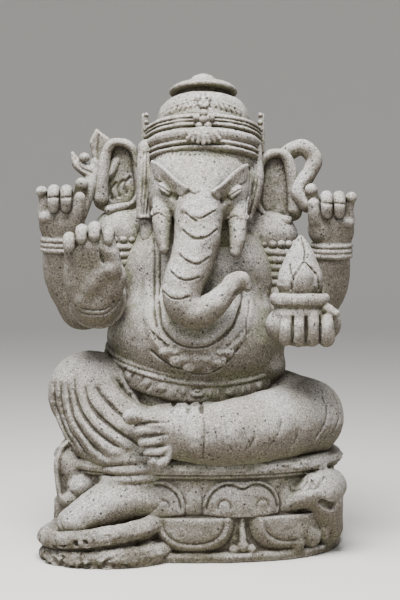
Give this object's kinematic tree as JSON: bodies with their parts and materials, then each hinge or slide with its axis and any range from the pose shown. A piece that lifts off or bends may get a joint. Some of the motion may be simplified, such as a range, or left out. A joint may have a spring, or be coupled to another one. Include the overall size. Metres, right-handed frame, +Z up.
{
  "type": "ganesha figure",
  "caption": "Seated four-armed elephant-headed figure on an oval lotus throne, carved in volcanic stone, that stands by its own weight as a garden or temple sculpture.",
  "frame": {"origin": "middle of the throne's flat underside", "axes": "+Z up, the figure faces -Y, its right side is at -X"},
  "size_m": [0.5341, 0.4093, 0.8],
  "materials": {
    "stone": "weathered grey-beige volcanic stone, rough, finely speckled and pitted, with a thin green-grey tint in the hollows and dark dirt in the cuts"
  },
  "bodies": {
    "root": {"ganesha_figure": "stone"}
  },
  "joints": []
}
